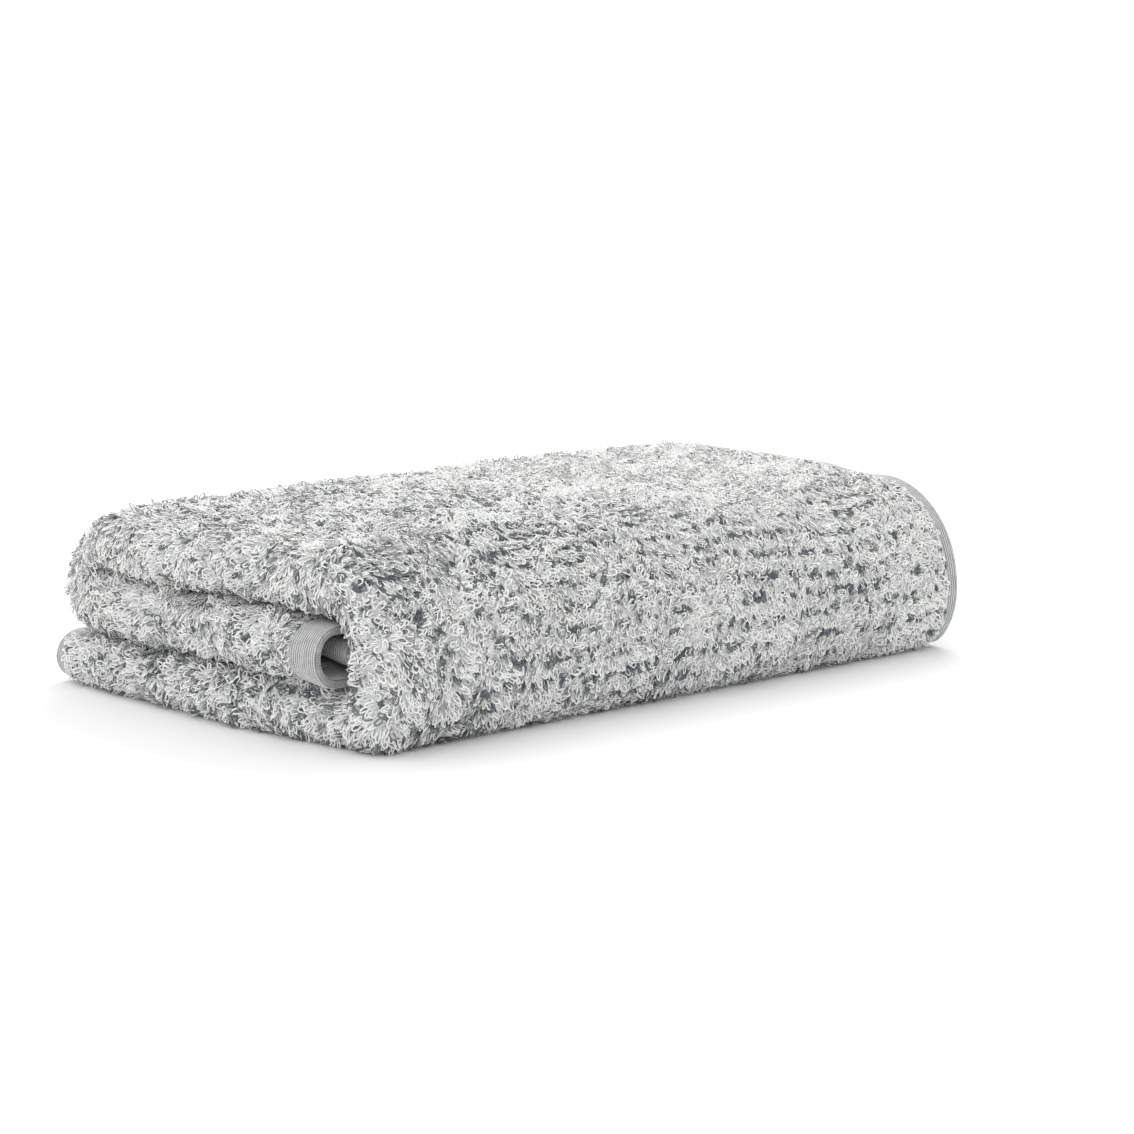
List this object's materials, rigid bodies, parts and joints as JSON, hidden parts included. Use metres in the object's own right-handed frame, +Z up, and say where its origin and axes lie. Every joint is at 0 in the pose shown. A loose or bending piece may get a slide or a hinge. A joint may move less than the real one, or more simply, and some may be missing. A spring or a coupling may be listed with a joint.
{
  "type": "folded hand towel",
  "caption": "Looped-pile hand towel with bound edges, folded in four along its length and then wound in three, lying flat.",
  "frame": {"origin": "centre of the bounding box at its bottom, on the surface the towel lies on", "axes": "+X along the folds from the left folds to the bound short edges, +Y from the big front fold to the bound outer end, +Z up"},
  "size_m": [0.273, 0.171, 0.063],
  "materials": {
    "pile": "matte looped pile, off-white and dark slate yarns",
    "tape": "matte flat woven tape"
  },
  "bodies": {
    "root": {"pile_cloth": "pile", "binding_outer_end": "tape", "binding_inner_end": "tape", "binding_short_outer": "tape", "binding_short_inner": "tape"}
  },
  "joints": []
}
